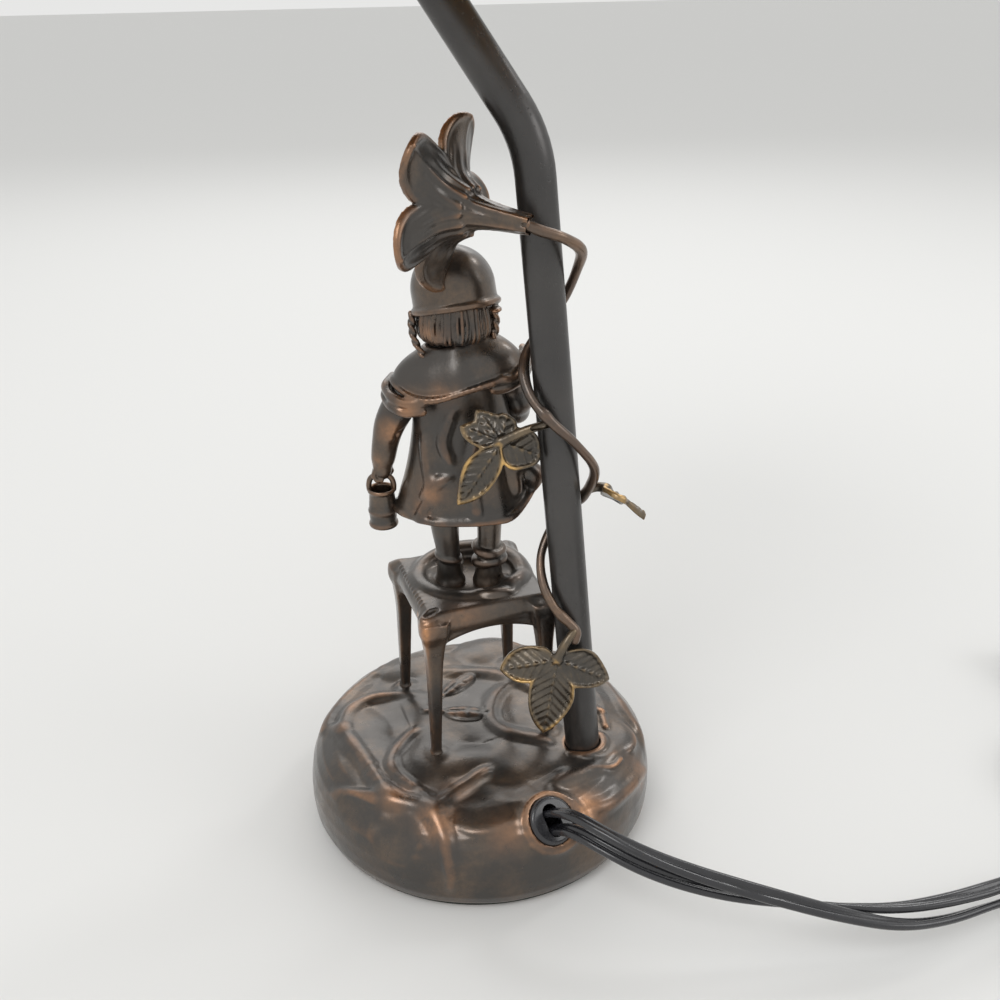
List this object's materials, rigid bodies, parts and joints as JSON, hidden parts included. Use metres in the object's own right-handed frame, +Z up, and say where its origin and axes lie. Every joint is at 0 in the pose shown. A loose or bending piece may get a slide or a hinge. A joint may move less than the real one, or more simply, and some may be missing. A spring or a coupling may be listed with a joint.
{
  "type": "figural table lamp",
  "caption": "Table lamp: a cast child figure with a pail on a stool, seen from behind, on a round root-relief base, beside a bent stem wound with a vine.",
  "frame": {"origin": "centre of the felt pad's underside, where the lamp stands on a table", "axes": "+Z up; the figure faces about -Y, turned 19 degrees clockwise seen from above; its left hand with the pail is towards +X; the leads leave at +Y"},
  "size_m": [0.4049, 0.3339, 0.479],
  "materials": {
    "bronze": "dark brown-black patinated bronze, satin, copper-coloured on the raised ridges",
    "gunmetal": "dark gunmetal lacquer, semi-gloss, with fine pits",
    "steel": "zinc-plated",
    "felt": "dark felt",
    "black_plastic": "glossy black moulding",
    "brass": "plain brass",
    "card": "fibre insulating sleeve",
    "porcelain": "glazed porcelain",
    "aluminium": "plain",
    "bulb_glass": "frosted white",
    "slag_glass": "amber streaked slag glass",
    "cord": "glossy black PVC twin flex"
  },
  "bodies": {
    "lamp": {"base_casting": "bronze", "bottom_plate": "steel", "felt_pad": "felt", "plate_screws": "steel", "cord_bushing": "black_plastic", "stem_tube": "gunmetal", "foot_nipple": "steel", "foot_washer": "steel", "foot_nut": "steel", "vine_main": "bronze", "vine_leaf_lower": "bronze", "vine_leaf_middle": "bronze", "vine_leaf_rear": "bronze", "vine_flower": "bronze", "stool": "bronze", "stool_screws": "steel", "figure_body": "bronze", "figure_head": "bronze", "figure_cap": "bronze", "figure_legs": "bronze", "figure_studs": "steel", "figure_left_arm": "bronze", "figure_right_arm": "bronze", "pail": "bronze", "pail_bail": "bronze", "top_nipple": "steel", "vase_cap": "bronze", "socket_cap": "brass", "socket_locknut": "steel", "socket_shell": "brass", "socket_liner": "card", "socket_body": "porcelain", "socket_screw_shell": "brass", "centre_contact": "brass", "bulb_cap": "aluminium", "bulb_glass": "bulb_glass", "harp_saddle": "bronze", "harp": "bronze", "shade_frame": "bronze", "shade_panes": "slag_glass", "shade_cap": "bronze", "finial": "bronze", "terminal_block": "black_plastic", "stem_wire": "cord", "mains_lead": "cord", "mains_coil": "cord", "plug_body": "black_plastic", "plug_blades": "brass", "switch_lead": "cord", "switch_coil": "cord", "switch_base": "black_plastic", "switch_cover": "black_plastic", "switch_screw": "steel"},
    "thumbwheel": {"switch_wheel": "black_plastic"}
  },
  "joints": [
    {"name": "switch_turn", "type": "hinge", "parent": "lamp", "child": "thumbwheel", "pos_m": [-0.2655, 0.023, 0.0117], "axis": [1, 0, 0], "continuous": true}
  ]
}
